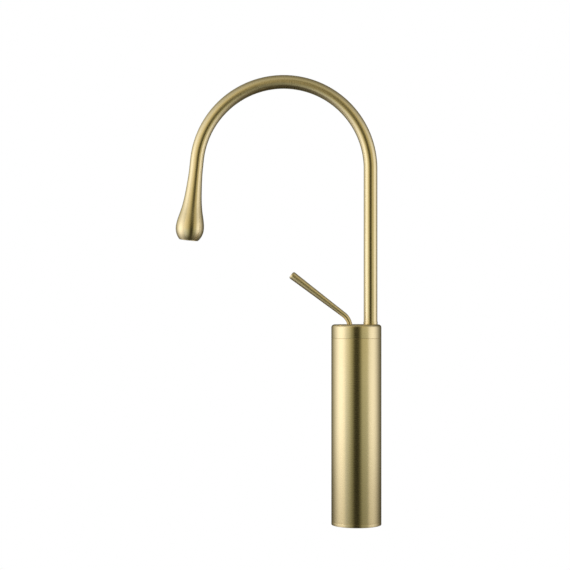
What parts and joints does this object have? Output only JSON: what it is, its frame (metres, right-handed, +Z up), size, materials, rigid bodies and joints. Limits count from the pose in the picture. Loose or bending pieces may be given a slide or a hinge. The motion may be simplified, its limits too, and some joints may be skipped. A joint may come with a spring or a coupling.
{
  "type": "bathroom mixer faucet",
  "caption": "Tall brushed gold basin mixer: cylindrical body, thin swivelling gooseneck spout with a teardrop outlet, and a thin bent stick lever on the cap.",
  "frame": {"origin": "centre of the base's underside, on the deck that the mixer stands on", "axes": "+Z up; the spout and the lever reach towards -X at rest; +Y towards the hot inlet"},
  "size_m": [0.2056, 0.05, 0.4493],
  "materials": {
    "brushed_gold": "brushed gold PVD coating",
    "raw_brass": "machined brass",
    "steel": "stainless steel",
    "white_plastic": "acetal",
    "grey_plastic": "moulded plastic",
    "ceramic": "lapped alumina ceramic",
    "black_rubber": "nitrile rubber"
  },
  "bodies": {
    "faucet_body": {"body_tube": "brushed_gold", "base_ring": "brushed_gold", "base_gasket": "black_rubber", "base_plug": "raw_brass", "valve_body": "raw_brass", "duct_plug": "raw_brass", "top_cap": "brushed_gold", "spout_bush": "white_plastic", "spout_thrust_washer": "white_plastic", "cartridge_housing": "white_plastic", "cartridge_base": "grey_plastic", "cartridge_base_seals": "black_rubber", "fixed_ceramic_disc": "ceramic", "cartridge_nut": "raw_brass"},
    "spout": {"spout_tube": "brushed_gold", "outlet_drop": "brushed_gold", "spout_spigot": "raw_brass", "spout_o_rings": "black_rubber", "spout_lock_ring": "white_plastic", "spout_foot_ring": "brushed_gold", "aerator_housing": "white_plastic", "aerator_insert": "grey_plastic", "flow_regulator": "grey_plastic", "aerator_gasket": "black_rubber", "aerator_screens": "steel"},
    "temperature": {"spindle_holder": "grey_plastic", "spindle_pin": "steel", "swivel_disc": "brushed_gold"},
    "lever": {"cartridge_spindle": "raw_brass", "lever_hub": "raw_brass", "hub_grub_screw": "steel", "lever_rod": "brushed_gold"},
    "valve_slide": {"moving_ceramic_disc": "ceramic", "disc_carrier": "grey_plastic"}
  },
  "joints": [
    {"name": "spout_swivel", "type": "hinge", "parent": "faucet_body", "child": "spout", "pos_m": [0.0142, 0, 0.2], "axis": [0, 0, 1], "continuous": true},
    {"name": "temperature_turn", "type": "hinge", "parent": "faucet_body", "child": "temperature", "pos_m": [-0.0064, 0, 0.2], "axis": [0, 0, 1], "range_deg": [-45, 45]},
    {"name": "lever_tilt", "type": "hinge", "parent": "temperature", "child": "lever", "pos_m": [-0.0064, 0, 0.183], "axis": [0, 1, 0], "range_deg": [0, 22]},
    {"name": "disc_slide", "type": "slide", "parent": "temperature", "child": "valve_slide", "axis": [-1, 0, 0], "range_m": [0, 0.0034]}
  ],
  "couplings": [
    {"joint": "disc_slide", "follows": "lever_tilt", "m_per_rad": 0.008586}
  ]
}
